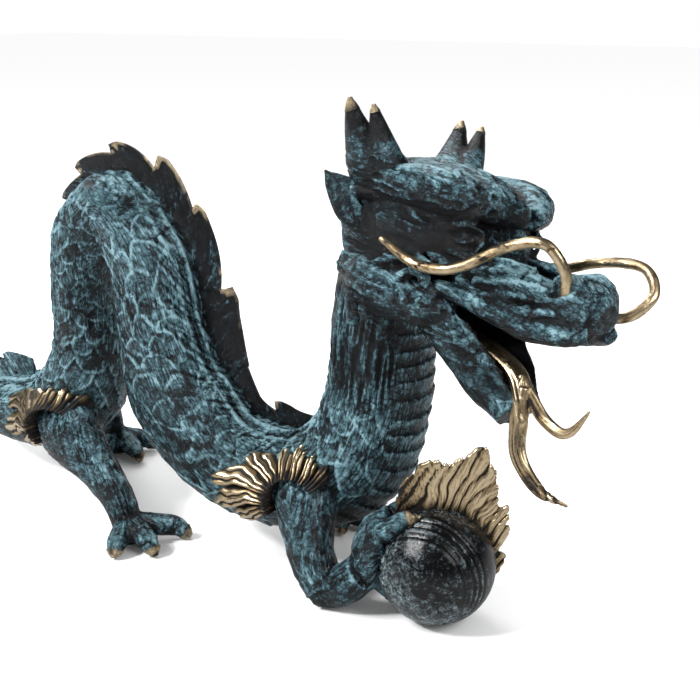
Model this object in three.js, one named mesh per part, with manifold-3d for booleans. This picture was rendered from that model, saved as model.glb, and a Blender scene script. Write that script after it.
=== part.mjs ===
// Cast bronze dragon, standing on three paws and the pearl that its right forepaw holds.
// Millimetres, +Z up, the dragon walks towards +X and its right side is towards -Y.
import * as THREE from 'three';
import { mergeVertices } from 'three/addons/utils/BufferGeometryUtils.js';
import Module from 'manifold-3d';

const wasm = await Module();
wasm.setup();

const placement = new THREE.Vector3(87.1, 7.8, 0); // puts the origin under the middle of the whole
const fitGap = 0.3; // clearance between separately cast pieces
const pawTurn = THREE.MathUtils.degToRad(30); // the palm faces away from the body by this much
const pearlRadius = 29;
const pearlCentre = new THREE.Vector3(68.8, -36.1, pearlRadius - 0.5);
const whiskerRadius = 2.3;

// Flame fin on the pearl: angle above the forward side and height over the ball, point by point.
const finOutline = [
  [-20, -2], [-4, 4], [4, 4], [14, 2], [28, 10], [40, 14], [46, 12], [56, 22], [63, 27], [70, 36],
  [77, 27], [85, 22], [94, 24], [104, 19], [113, 15], [126, 4],
];
const finThick = 4;
const finBack = 3;

// Body line from tail tip to skull: x, y, z, half width, half depth.
const bodyLine = [
  [-320, 40, 98, 3, 3],
  [-327.5, 26, 70, 7, 8],
  [-308, 8, 48, 10, 12],
  [-274, -8, 42, 13, 15],
  [-238, -14, 44.5, 17, 20.5],
  [-204, -12, 48.5, 22, 23],
  [-179, -11, 65, 25, 25.5],
  [-166, -13, 98, 21, 21],
  [-165, -16, 131, 19, 18],
  [-154, -20, 163, 20, 20],
  [-127, -24, 182, 22, 21],
  [-104, -26, 157, 24, 25],
  [-98, -25, 122, 26, 27],
  [-89, -23, 83, 27, 34],
  [-59, -20, 52.5, 27, 30.5],
  [-20, -14, 46, 27, 28],
  [9, -9, 62, 27, 29],
  [21, -7, 96, 26, 27],
  [24, -8, 132, 25, 26],
  [28, -9, 166, 24, 24],
  [34, -11, 190, 22, 20],
];

// Crest teeth in two runs, one on the tail and one from the loin over the hump to the withers:
// where along the body line each tooth starts, and its height there.
const crests = [
  { teeth: [[0.06, 5], [0.095, 8], [0.132, 12], [0.17, 15], [0.205, 15], [0.24, 3]], end: 0.262 },
  {
    teeth: [
      [0.38, 3], [0.41, 4], [0.438, 5], [0.458, 8], [0.478, 12], [0.497, 14], [0.513, 19],
      [0.538, 19], [0.575, 23], [0.637, 13], [0.688, 9], [0.727, 13],
    ],
    end: 0.79,
  },
];
const crestNotch = 0.7; // height left at the end of a tooth, as a share of its start
const crestThick = 4.4;

// The head is modelled in a frame of its own: x forward, y to its left, z up.
const head = { at: [30, -10, 190], yaw: -16, roll: 12 };

// Turns a closed geometry into a solid that can be joined and cut.
function solid(geometry) {
  geometry.deleteAttribute('normal');
  geometry.deleteAttribute('uv');
  const welded = mergeVertices(geometry, 1e-4);
  return new wasm.Manifold(new wasm.Mesh({
    numProp: 3,
    vertProperties: new Float32Array(welded.attributes.position.array),
    triVerts: new Uint32Array(welded.index.array),
  }));
}

// Closes a stack of equal rings of points into a solid.
function skin(rings) {
  const sides = rings[0].length;
  const points = rings.flat();
  const faces = [];
  for (let r = 0; r + 1 < rings.length; r += 1) {
    for (let s = 0; s < sides; s += 1) {
      const a = r * sides + s;
      const b = r * sides + (s + 1) % sides;
      faces.push(a, b, b + sides, a, b + sides, a + sides);
    }
  }
  for (const [ring, flip] of [[0, true], [rings.length - 1, false]]) {
    const middle = new THREE.Vector3();
    for (const point of rings[ring]) middle.addScaledVector(point, 1 / sides);
    points.push(middle);
    for (let s = 0; s < sides; s += 1) {
      const a = ring * sides + s;
      const b = ring * sides + (s + 1) % sides;
      faces.push(...(flip ? [b, a, points.length - 1] : [a, b, points.length - 1]));
    }
  }
  const geometry = new THREE.BufferGeometry().setFromPoints(points);
  geometry.setIndex(faces);
  return solid(geometry);
}

// A line of rows [x, y, z, half width, half depth] with the frame that rides along it.
function line(rows, side = [0, 1, 0]) {
  const points = rows.map(([x, y, z]) => new THREE.Vector3(x, y, z));
  const halves = rows.map(([, , , wide, deep = wide]) => new THREE.Vector2(wide, deep));
  const path = new THREE.CatmullRomCurve3(points, false, 'catmullrom');
  const size = new THREE.SplineCurve(halves);
  const sideways = new THREE.Vector3(...side);
  return (t) => {
    const at = path.getPoint(t);
    const along = path.getTangent(t);
    const left = sideways.clone().addScaledVector(along, -sideways.dot(along)).normalize();
    const up = new THREE.Vector3().crossVectors(along, left);
    const half = size.getPoint(t);
    return { at, along, left, up, wide: half.x, deep: half.y };
  };
}

// Sweeps a section along a line; `section(angle, t)` scales the ellipse.
function sweep(rows, { steps = 8, sides = 8, side, section = () => 1, grow = 0 } = {}) {
  const frameAt = line(rows, side);
  const rings = [];
  for (let i = 0; i <= steps; i += 1) {
    const t = i / steps;
    const f = frameAt(t);
    const ring = [];
    for (let s = 0; s < sides; s += 1) {
      const angle = (s / sides) * 2 * Math.PI;
      const k = section(angle, t);
      ring.push(f.at.clone()
        .addScaledVector(f.left, Math.cos(angle) * (Math.max(f.wide, 0.2) + grow) * k)
        .addScaledVector(f.up, Math.sin(angle) * (Math.max(f.deep, 0.2) + grow) * k));
    }
    rings.push(ring);
  }
  return skin(rings);
}

function union(solids) {
  let whole = solids[0];
  for (const other of solids.slice(1)) whole = whole.add(other);
  return whole;
}

function body() {
  return sweep(bodyLine, { steps: 46, sides: 12 });
}

// A plate whose foot is sunk in its carrier and whose free edge is thin; one ring for each row.
function plate(rows, footThick, edgeThick) {
  return skin(rows.map(({ foot, tip, across }) => [
    foot.clone().addScaledVector(across, footThick / 2),
    tip.clone().addScaledVector(across, edgeThick / 2),
    tip.clone().addScaledVector(across, -edgeThick / 2),
    foot.clone().addScaledVector(across, -footThick / 2),
  ]));
}

// The crest stands on the back; each tooth starts with its point, on the tail side.
function crestPlate({ teeth, end }) {
  const frameAt = line(bodyLine);
  const perTooth = 2;
  const rows = [];
  teeth.forEach(([start, tall], k) => {
    const stop = teeth[k + 1]?.[0] ?? end;
    const low = k === teeth.length - 1 ? 0.1 : crestNotch;
    for (let i = 0; i <= perTooth; i += 1) {
      const phase = i / perTooth;
      const f = frameAt(start + (stop - start) * phase - (i === perTooth ? 0.0012 : 0));
      const height = tall * (low + (1 - low) * Math.pow(1 - phase, 1.1));
      const lean = i === 0 ? 3.5 : 0;
      rows.push({
        foot: f.at.clone().addScaledVector(f.up, f.deep - 5),
        tip: f.at.clone().addScaledVector(f.up, f.deep + height).addScaledVector(f.along, -lean),
        across: f.left,
      });
    }
  });
  return plate(rows, crestThick, 1.2);
}

// How far out the flank is, beside the point x, z of the body's own plane.
function flank(x, z, side) {
  const frameAt = line(bodyLine);
  let nearest = { gap: Infinity };
  for (let t = 0; t <= 1; t += 1 / 160) {
    const f = frameAt(t);
    const gap = Math.hypot(f.at.x - x, f.at.z - z);
    if (gap < nearest.gap) nearest = { gap, f };
  }
  const { f, gap } = nearest;
  const share = Math.min(0.97, gap / f.deep);
  return f.at.y + side * f.wide * Math.sqrt(1 - share * share);
}

// One toe that ends in a hooked claw resting on the ground.
function toe(root, tip, thick) {
  const lift = 7;
  const mid = [(root[0] * 0.45 + tip[0] * 0.55), (root[1] * 0.45 + tip[1] * 0.55), lift + thick * 0.4];
  const knuckle = [(root[0] * 0.2 + tip[0] * 0.8), (root[1] * 0.2 + tip[1] * 0.8), lift];
  const rows = [
    [...root, thick],
    [...mid, thick * 0.95],
    [...knuckle, thick * 0.75],
    [tip[0], tip[1], 0.2, 0.6],
  ];
  return sweep(rows, { steps: 4, sides: 5, side: [tip[1] - root[1], root[0] - tip[0], 0] });
}

// A frill of flame tongues on the flank round a joint; the tongues are longest towards the rear.
function flameFan({ centre, side, inner, short, long, from, to, count }) {
  const rings = [];
  for (let i = 0; i <= 2 * count; i += 1) {
    const degrees = from + ((to - from) * i) / (2 * count);
    const angle = THREE.MathUtils.degToRad(degrees);
    const full = short + (long - short) * Math.exp(-(((degrees - 168) / 30) ** 2));
    const notch = i % 2 === 0;
    const reach = notch ? full * 0.78 : full;
    const spot = (radius, lift) => {
      const bend = angle + (notch ? 0 : 0.12 * (radius / full));
      const x = centre[0] + Math.cos(bend) * radius;
      const z = centre[1] + Math.sin(bend) * radius;
      return new THREE.Vector3(x, flank(x, z, side) + side * lift, z);
    };
    const middle = (inner + reach) / 2;
    const ring = [
      spot(inner, 7), spot(middle, notch ? 3.5 : 5.5), spot(reach, notch ? 1 : 3),
      spot(reach - 1, -3), spot(middle, -4), spot(inner, -6),
    ];
    rings.push(side < 0 ? ring : ring.reverse());
  }
  return skin(rings);
}

function hindLeg(side) {
  const near = side < 0;
  const thigh = near
    ? [
      [-184, -12, 55, 19, 20], [-168, -34, 50, 18, 20], [-141, -46, 40, 12, 13],
      [-121, -50, 25, 9, 10], [-113, -48, -2, 8, 8],
    ]
    : [
      [-186, -2, 62, 20, 22], [-194, 18, 54, 17, 20], [-206, 34, 36, 11, 13],
      [-208, 42, 20, 8, 9], [-205, 44, -2, 7, 7],
    ];
  const root = near ? [-113, -51, 11] : [-202, 44, 11];
  const tips = near
    ? [[-105, -73], [-87, -60], [-85, -32], [-128, -36]]
    : [[-200, 20], [-177, 34], [-183, 56], [-222, 56]];
  const toes = tips.map((tip) => toe(root, tip, 6.5));
  const centre = near ? [-170, 50] : [-194, 50];
  const fan = flameFan({ centre, side, inner: 15, short: 28, long: 52, from: 44, to: 216, count: 7 });
  return union([sweep(thigh, { steps: 8, sides: 8 }), fan, ...toes]);
}

function leftForeleg() {
  const arm = [[-20, 2, 46, 16, 18], [-26, 16, 38, 14, 16], [-27, 24, 24, 10, 11], [-24, 25, -2, 7, 7]];
  const tips = [[-12, 12], [-2, 24], [-8, 38], [-40, 30]];
  const toes = tips.map((tip) => toe([-21, 25, 10], tip, 6));
  const centre = [-22, 44];
  const fan = flameFan({ centre, side: 1, inner: 15, short: 27, long: 46, from: 50, to: 208, count: 6 });
  return union([sweep(arm, { steps: 6, sides: 8 }), fan, ...toes]);
}

// The right forearm rests on its elbow, and the paw cups the pearl.
function rightForeleg() {
  const upper = [
    [-12, -22, 48, 16, 18], [-4, -38, 44, 14.5, 17], [7, -51, 24, 11.5, 12.5], [19, -56, 9.5, 11, 11],
  ];
  const fore = [[13, -55, 9.8, 10, 10.5], [27, -55, 14, 9, 10.5], [38, -54, 24, 9, 10]];
  const centre = [-7, 46];
  const fan = flameFan({ centre, side: -1, inner: 17, short: 30, long: 54, from: 50, to: 206, count: 9 });
  const arm = [sweep(upper, { steps: 7, sides: 8 }), sweep(fore, { steps: 4, sides: 8 })];
  return union([...arm, fan, ...cuppedPaw()]);
}

// Palm and claws follow arcs round the pearl; an arc turns from the palm side up and over the ball.
function cuppedPaw() {
  const palmSide = new THREE.Vector3(-Math.cos(pawTurn), -Math.sin(pawTurn), 0);
  const behind = new THREE.Vector3(-Math.sin(pawTurn), Math.cos(pawTurn), 0);
  const arc = (from, to, back, sizes) => sizes.map(([wide, deep], k) => {
    const angle = THREE.MathUtils.degToRad(from + ((to - from) * k) / (sizes.length - 1));
    const shelf = Math.sqrt(Math.max(0, 1 - (back / pearlRadius) ** 2)) * pearlRadius + deep * 0.55;
    const at = pearlCentre.clone()
      .addScaledVector(palmSide, Math.cos(angle) * shelf)
      .addScaledVector(behind, back)
      .add(new THREE.Vector3(0, 0, Math.sin(angle) * shelf));
    return [at.x, at.y, at.z, wide, deep];
  });
  const palm = arc(-18, 49, 2, [[9, 5], [13, 8], [13, 8], [10, 6]]);
  const digit = [[5, 5], [5, 5], [4, 4], [0.5, 0.6]];
  const digits = [[36, 74, -6], [22, 114, 11], [8, 98, 18], [-8, -62, 9]];
  const side = behind.toArray();
  return [
    sweep(palm, { steps: 8, sides: 8, side }),
    ...digits.map(([from, to, back]) => sweep(arc(from, to, back, digit), { steps: 5, sides: 6, side })),
  ];
}

const headFrame = new THREE.Matrix4()
  .makeTranslation(...head.at)
  .multiply(new THREE.Matrix4().makeRotationZ(THREE.MathUtils.degToRad(head.yaw)))
  .multiply(new THREE.Matrix4().makeRotationX(THREE.MathUtils.degToRad(-head.roll)));

// Carries a solid from the head's own frame to where the head is.
const placed = (shape) => shape.transform(headFrame.elements);

// Skull and snout: forward station, half width, underside, top.
const skullStations = [
  [-14, 16, -38, 4], [-6, 25, -46, 20], [12, 28, -46, 29], [30, 30, -38, 31],
  [46, 28, -28, 27], [57, 24, -30, 12], [67, 21, -33, -6], [84, 18, -37, -12],
  [98, 17.5, -38, -15], [109, 17.5, -38, -12], [118, 15, -36, -11], [124, 8, -31, -18],
];

function skull() {
  const rows = skullStations.map(([x, wide, low, high]) => [x, 0, (low + high) / 2, wide, (high - low) / 2]);
  return sweep(rows, { steps: 16, sides: 12 });
}

function headFeatures(side) {
  const at = (rows) => rows.map(([x, y, z, ...rest]) => [x, side * y, z, ...rest]);
  const brow = at([
    [2, 24, 13, 6], [28, 26, 17, 8.5], [52, 24, 16, 10], [66, 17, 14, 9.5], [74, 9, 12, 7], [77, 2, 10, 5],
  ]);
  const cheek = at([[-4, 21, -22, 8], [22, 25, -30, 12], [44, 23, -34, 9], [60, 18, -34, 4]]);
  const horn = at([[10, 19, 14, 10, 17], [6, 28, 25, 9.5, 13], [2, 34, 36, 6.5, 7.5], [-1, 39, 50, 0.8]]);
  const fork = at([[17, 23, 18, 8.5, 10.5], [15.5, 31, 31, 6, 7], [13, 38, 48, 0.8]]);
  const ear = at([
    [9, 21, -4, 4, 7], [2, 27, 2, 3.6, 10], [-4, 31, 8, 2.8, 8], [-9, 35, 13, 1.8, 4.5],
    [-12, 36.5, 16.5, 0.5],
  ]);
  const eye = solid(new THREE.SphereGeometry(6.5, 8, 6).translate(64, side * 20.5, 2));
  return union([
    sweep(brow, { steps: 7, sides: 6 }),
    sweep(cheek, { steps: 5, sides: 6 }),
    sweep(horn, { steps: 5, sides: 7 }),
    sweep(fork, { steps: 4, sides: 6 }),
    sweep(ear, { steps: 4, sides: 5 }),
    eye,
  ]);
}

function lowerJaw() {
  const rows = [
    [24, 0, -25, 22, 14], [44, 0, -35, 24, 16], [61, 0, -46, 23, 16], [77, 0, -60, 19, 15],
    [90, 0, -72, 12.5, 10],
  ];
  const hollow = [
    [34, 0, -14, 14, 12], [54, 0, -26, 17, 18], [72, 0, -38, 16, 18], [90, 0, -50, 13, 17],
    [110, 0, -66, 10, 14],
  ];
  return sweep(rows, { steps: 8, sides: 12 }).subtract(sweep(hollow, { steps: 5, sides: 10 }));
}

const tongueStem = [[56, 0, -46, 7, 3], [74, 0, -50, 7, 3], [88, -3, -56, 6, 3.4], [95, -5, -66, 5.5, 3.6]];
const tongueTines = [
  [[90, -4, -56, 3.4], [96, -4, -62, 3], [106, -3, -71, 2.6], [118, -4, -73, 2.2], [127, -5, -61, 0.6]],
  [[93, -5, -60, 4.2], [95, -7, -72, 4], [99, -8, -88, 3.4], [112, -8, -99, 2.6], [127, -8, -101, 0.6]],
];

function tongue(grow = 0) {
  return union([
    sweep(tongueStem, { steps: 6, sides: 6, grow }),
    ...tongueTines.map((rows) => sweep(rows, { steps: 8, sides: 5, grow })),
  ]);
}

// Whisker line on the head's right side; the left one is its mirror image with a wider bow.
const whiskerLines = {
  right: [
    [110, -11, -22], [112, -18, -8], [104, -24, 2], [88, -27, -2], [68, -31, -14], [48, -34, -16],
    [28, -37, -8],
  ],
  left: [
    [108, 11, -22], [121, 17, -24], [127, 27, -13], [117, 32, -3], [97, 33, -4], [76, 34, -10],
    [54, 36, -12],
  ],
};

function whisker(name, grow = 0) {
  const points = whiskerLines[name];
  const rows = points.map((p, i) => [...p, i === points.length - 1 ? whiskerRadius * 0.6 : whiskerRadius]);
  return sweep(rows, { steps: 18, sides: 6, side: [0.1, 1, 0.2], grow });
}

// The ball carries a thin fin of flames on a great circle, from the palm side over the top to the front.
function flameFin() {
  const across = new THREE.Vector3(Math.cos(pawTurn), Math.sin(pawTurn), 0);
  const behind = new THREE.Vector3(-Math.sin(pawTurn), Math.cos(pawTurn), 0);
  return plate(finOutline.map(([degrees, height]) => {
    const turn = THREE.MathUtils.degToRad(degrees);
    const out = across.clone().multiplyScalar(Math.cos(turn)).add(new THREE.Vector3(0, 0, Math.sin(turn)));
    const foot = pearlCentre.clone().addScaledVector(behind, finBack).addScaledVector(out, pearlRadius - 5);
    return { foot, tip: foot.clone().addScaledVector(out, height + 5), across: behind.clone().negate() };
  }), finThick, 1.4);
}

function pearl() {
  const ball = new THREE.SphereGeometry(pearlRadius, 20, 12);
  return union([solid(ball.rotateX(Math.PI / 2)).translate(pearlCentre.toArray()), flameFin()]);
}

const ground = solid(new THREE.BoxGeometry(1200, 1200, 200).translate(0, 0, -100));
const pearlSolid = pearl().subtract(ground);
const ballSeat = solid(new THREE.SphereGeometry(pearlRadius + fitGap, 20, 12).rotateX(Math.PI / 2))
  .translate(pearlCentre.toArray());

const dragon = union([
  body(), ...crests.map(crestPlate), hindLeg(-1), hindLeg(1), rightForeleg(), leftForeleg(),
  placed(skull()), placed(headFeatures(-1)), placed(headFeatures(1)), placed(lowerJaw()),
])
  .subtract(ballSeat)
  .subtract(placed(tongue(fitGap)))
  .subtract(placed(whisker('right', fitGap)))
  .subtract(placed(whisker('left', fitGap)))
  .subtract(ground);

const group = new THREE.Group();

function piece(name, shape, color, roughness, metalness) {
  const mesh = shape.getMesh();
  const geometry = new THREE.BufferGeometry();
  geometry.setAttribute('position', new THREE.BufferAttribute(mesh.vertProperties, 3));
  geometry.setIndex(new THREE.BufferAttribute(mesh.triVerts, 1));
  const material = new THREE.MeshStandardMaterial({ color, roughness, metalness });
  const part = new THREE.Mesh(geometry, material);
  part.name = name;
  part.position.copy(placement);
  group.add(part);
}

piece('dragon', dragon, 0x1f4f55, 0.45, 0.8);
piece('flaming_pearl', pearlSolid, 0x24474d, 0.35, 0.8);
piece('right_whisker', placed(whisker('right')), 0xc9a45a, 0.25, 1);
piece('left_whisker', placed(whisker('left')), 0xc9a45a, 0.25, 1);
piece('forked_tongue', placed(tongue()), 0xc9a45a, 0.25, 1);

export default group;
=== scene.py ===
import math

import bmesh
import bpy
import numpy as np
from mathutils import Matrix, Vector


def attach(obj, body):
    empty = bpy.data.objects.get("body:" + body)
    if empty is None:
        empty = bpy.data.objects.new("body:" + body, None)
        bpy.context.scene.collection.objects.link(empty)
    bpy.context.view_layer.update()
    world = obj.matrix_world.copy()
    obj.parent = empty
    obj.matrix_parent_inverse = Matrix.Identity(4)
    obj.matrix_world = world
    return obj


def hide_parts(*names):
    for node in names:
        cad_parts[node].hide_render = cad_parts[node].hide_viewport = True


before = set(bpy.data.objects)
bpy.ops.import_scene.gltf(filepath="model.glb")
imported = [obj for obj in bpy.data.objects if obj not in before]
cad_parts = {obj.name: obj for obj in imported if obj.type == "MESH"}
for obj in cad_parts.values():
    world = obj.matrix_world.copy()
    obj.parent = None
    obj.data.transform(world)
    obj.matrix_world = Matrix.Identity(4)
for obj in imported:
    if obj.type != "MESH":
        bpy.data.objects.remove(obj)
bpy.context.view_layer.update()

# Shapes are made in millimetres round the modelling origin, then moved by this to the part's own frame.
placement = np.array([87.1, 7.8, 0.0])


def spline(points, t, runOn=True):
    points = np.asarray(points, float)
    last = len(points) - 1
    spot = np.clip(t, 0, 1) * last
    i = np.minimum(spot.astype(int), last - 1)
    w = (spot - i)[:, None]
    first = 2 * points[0] - points[1] if runOn else points[0]
    final = 2 * points[-1] - points[-2] if runOn else points[-1]
    row = np.vstack([first, points, final])
    before, a, b, after = (row[i + k] for k in range(4))
    u, v = (b - before) / 2, (after - a) / 2
    return (2 * a - 2 * b + u + v) * w ** 3 + (-3 * a + 3 * b - 2 * u - v) * w ** 2 + u * w + a


def unit(v):
    return v / np.maximum(np.linalg.norm(v, axis=-1, keepdims=True), 1e-9)


# Puts lists and single values side by side as columns.
def stacked(*columns):
    return np.stack(np.broadcast_arrays(*columns), -1)


# Places, directions and half sizes along rows of [x, y, z, half width, half depth].
def follow(rows, t, side=(0, 1, 0)):
    rows = np.array([list(r) + [r[3]] * (5 - len(r)) for r in rows], float)
    at = spline(rows[:, :3], t)
    along = unit(spline(rows[:, :3], t + 1e-4) - spline(rows[:, :3], t - 1e-4))
    side = np.asarray(side, float)
    left = unit(side - along * (along @ side)[:, None])
    up = np.cross(along, left)
    half = np.maximum(spline(rows[:, 3:5], t, runOn=False), 0.2)
    gone = np.concatenate([[0], np.cumsum(np.linalg.norm(np.diff(at, axis=0), axis=1))])
    return {"at": at, "along": along, "left": left, "up": up, "half": half, "gone": gone}


# The points of a tube, ring by ring, with a pole at each end.
def tubePoints(rows, steps, sides, side=(0, 1, 0)):
    f = follow(rows, np.linspace(0, 1, steps + 1), side)
    angle = np.linspace(0, 2 * np.pi, sides + 1)
    wide, deep = f["half"][:, :1] * np.cos(angle), f["half"][:, 1:] * np.sin(angle)
    rings = f["at"][:, None] + f["left"][:, None] * wide[..., None] + f["up"][:, None] * deep[..., None]
    ends = [np.repeat(f["at"][e][None, None], sides + 1, axis=1) for e in (0, -1)]
    return np.concatenate([ends[0], rings, ends[1]])


def noise(p, seed=0):
    p = np.asarray(p, float)
    cell = np.floor(p).astype(np.int64)
    f = p - cell
    f = f * f * (3 - 2 * f)
    total = np.zeros(len(p))
    for corner in range(8):
        bits = np.array([corner & 1, (corner >> 1) & 1, (corner >> 2) & 1])
        i = cell + bits
        h = (i[:, 0] * 73856093) ^ (i[:, 1] * 19349663) ^ (i[:, 2] * 83492791) ^ (seed * 40503 + 977)
        h = ((h & 0x7FFFFFFF) * 1103515245 + 12345) & 0x7FFFFFFF
        h = ((h ^ (h >> 13)) * 69069 + 1) & 0x7FFFFFFF
        value = ((h >> 8) & 0xFFFF) / 32767.5 - 1
        total += value * np.prod(np.where(bits, f, 1 - f), axis=1)
    return total


def layered(p, seed=0, layers=3):
    return sum(noise(p * 2 ** k, seed + k) / 2 ** k for k in range(layers))


def ease(low, high, value):
    x = np.clip((value - low) / (high - low), 0, 1)
    return x * x * (3 - 2 * x)


# Adds a grid of points to a bmesh; equal points are merged afterwards, which closes seams and poles.
def addGrid(bm, points):
    rows, columns = points.shape[:2]
    made = bmesh.ops.create_grid(bm, x_segments=columns - 1, y_segments=rows - 1, size=1)
    for vert, spot in zip(made["verts"], points.reshape(-1, 3)):
        vert.co = spot
    bmesh.ops.remove_doubles(bm, verts=made["verts"], dist=1e-4)


def gridMesh(name, grids):
    bm = bmesh.new()
    for points in grids:
        addGrid(bm, points)
    bmesh.ops.recalc_face_normals(bm, faces=bm.faces)
    mesh = bpy.data.meshes.new(name)
    bm.to_mesh(mesh)
    bm.free()
    return mesh


def addObject(name, data):
    obj = bpy.data.objects.new(name, data)
    bpy.context.scene.collection.objects.link(obj)
    return obj


# A strip of rings from a front and a back sheet, closed at both ends.
def ringMesh(name, front, back):
    rings = np.concatenate([front, back, front[:, :1]], axis=1)
    ends = [np.repeat(rings[e].mean(0)[None, None], rings.shape[1], axis=1) for e in (0, -1)]
    return gridMesh(name, [np.concatenate([ends[0], rings, ends[1]])])


def evaluated(mesh, addModifiers):
    obj = addObject("work", mesh)
    addModifiers(obj)
    depsgraph = bpy.context.evaluated_depsgraph_get()
    result = bpy.data.meshes.new_from_object(obj.evaluated_get(depsgraph))
    bpy.data.objects.remove(obj)
    bpy.data.meshes.remove(mesh)
    return result


# Joins overlapping closed shapes into one skin of even small faces.
def fused(mesh, voxel, smoothing):
    def addModifiers(obj):
        remesh = obj.modifiers.new("fuse", "REMESH")
        remesh.mode = "VOXEL"
        remesh.voxel_size = voxel
        smooth = obj.modifiers.new("soften", "SMOOTH")
        smooth.factor = 0.5
        smooth.iterations = smoothing
    return evaluated(mesh, addModifiers)


def readPoints(mesh, what="co"):
    data = np.zeros(len(mesh.vertices) * 3, np.float32)
    mesh.vertices.foreach_get(what, data)
    return data.reshape(-1, 3).astype(float)


def writePoints(mesh, points):
    mesh.vertices.foreach_set("co", points.astype(np.float32).ravel())
    mesh.update()


def setAttributes(mesh, **values):
    for name, value in values.items():
        value = np.asarray(value, float)
        kind, field, shape = ("FLOAT_VECTOR", "vector", (len(mesh.vertices), 3)) if value.ndim == 2 else (
            "FLOAT", "value", (len(mesh.vertices),))
        layer = mesh.attributes.new(name, kind, "POINT")
        layer.data.foreach_set(field, np.broadcast_to(value, shape).astype(np.float32).ravel())


# Where points lie on a line: distance along it, angle about it, its radius there and the gap to its surface.
def onLine(points, line):
    block = 20000
    index = np.empty(len(points), int)
    size = (line["at"] ** 2).sum(1)
    for start in range(0, len(points), block):
        index[start:start + block] = np.argmin(size - 2 * points[start:start + block] @ line["at"].T, axis=1)
    away = points - line["at"][index]
    x = (away * line["left"][index]).sum(1) / line["half"][index, 0]
    y = (away * line["up"][index]).sum(1) / line["half"][index, 1]
    radius = line["half"][index].mean(1)
    return {"gone": line["gone"][index] + (away * line["along"][index]).sum(1), "angle": np.arctan2(y, x),
            "radius": radius, "gap": (np.hypot(x, y) - 1) * radius}


def nearest(points, spots):
    return np.min([np.linalg.norm(points - spot, axis=1) for spot in spots], axis=0)


# Rows of every line below: x, y, z, half width, half depth, in millimetres.
body = {
    "line": [
        [-320, 40, 98, 3, 3], [-327.5, 26, 70, 7, 8], [-308, 8, 48, 10, 12], [-274, -8, 42, 13, 15],
        [-238, -14, 44.5, 17, 20.5], [-204, -12, 48.5, 22, 23], [-179, -11, 65, 25, 25.5],
        [-166, -13, 98, 21, 21], [-165, -16, 131, 19, 18], [-154, -20, 163, 20, 20],
        [-127, -24, 182, 22, 21], [-104, -26, 157, 24, 25], [-98, -25, 122, 26, 27],
        [-89, -23, 83, 27, 34], [-59, -20, 52.5, 27, 30.5], [-20, -14, 46, 27, 28], [9, -9, 62, 27, 29],
        [21, -7, 96, 26, 27], [24, -8, 132, 25, 26], [28, -9, 166, 24, 24], [34, -11, 190, 22, 20],
    ],
    "fineness": 0.88,  # size of the skin's small faces
}
legs = {
    "nearHind": [[-184, -12, 55, 19, 20], [-168, -34, 50, 18, 20], [-141, -46, 40, 12, 13],
                 [-121, -50, 25, 9, 10], [-113, -48, -2, 8, 8]],
    "farHind": [[-186, -2, 62, 20, 22], [-194, 18, 54, 17, 20], [-206, 34, 36, 11, 13],
                [-208, 42, 20, 8, 9], [-205, 44, -2, 7, 7]],
    "farFore": [[-20, 2, 46, 16, 18], [-26, 16, 38, 14, 16], [-27, 24, 24, 10, 11], [-24, 25, -2, 7, 7]],
    "nearUpper": [[-12, -22, 48, 16, 18], [-4, -38, 44, 14.5, 17], [7, -51, 24, 11.5, 12.5],
                  [19, -56, 9.5, 11, 11]],
    "nearFore": [[13, -55, 9.8, 10, 10.5], [27, -55, 14, 9, 10.5], [38, -54, 24, 9, 10]],
}
feet = {
    "near": {"root": [-113, -51, 11], "thick": 6.5,
             "tips": [[-105, -73], [-87, -60], [-85, -32], [-128, -36]]},
    "far": {"root": [-202, 44, 11], "thick": 6.5, "tips": [[-200, 20], [-177, 34], [-183, 56], [-222, 56]]},
    "fore": {"root": [-21, 25, 10], "thick": 6, "tips": [[-12, 12], [-2, 24], [-8, 38], [-40, 30]]},
}
fullBody = follow(body["line"], np.linspace(0, 1, 900))


def toeRows(root, tip, thick):
    def partWay(share, height, size):
        return [root[0] + (tip[0] - root[0]) * share, root[1] + (tip[1] - root[1]) * share, height, size]
    return [[*root, thick], partWay(0.5, 9, thick), partWay(0.78, 7.5, thick * 0.9),
            partWay(0.93, 4.2, thick * 0.62), partWay(1.01, 1.6, 1.3)]


def toeSide(root, tip):
    return (tip[1] - root[1], root[0] - tip[0], 0)


# The head's own frame: forward, left, up.
head = {"at": [30, -10, 190], "yaw": -16, "roll": 12}
headTurn = np.array(Matrix.Rotation(math.radians(head["yaw"]), 3, "Z")
                    @ Matrix.Rotation(math.radians(-head["roll"]), 3, "X"))


def placed(points):
    return np.asarray(points) @ headTurn.T + np.array(head["at"])


def inHead(points):
    return (points - np.array(head["at"])) @ headTurn


pearl = {"centre": np.array([68.8, -36.1, 28.5]), "radius": 29, "turn": math.radians(30),
         "hoops": ((47, 0.12, 1.6), (58, 0.3, 1.6), (65, 0.35, 1.6), (72, 0.3, 1.6)),
         "ticks": ((2.9, -26.5, -20), (7.2, -25.5, -22))}
pearlAcross = np.array([math.cos(pearl["turn"]), math.sin(pearl["turn"]), 0])
pearlBehind = np.array([-math.sin(pearl["turn"]), math.cos(pearl["turn"]), 0])
skyward = np.array([0, 0, 1.0])


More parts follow.
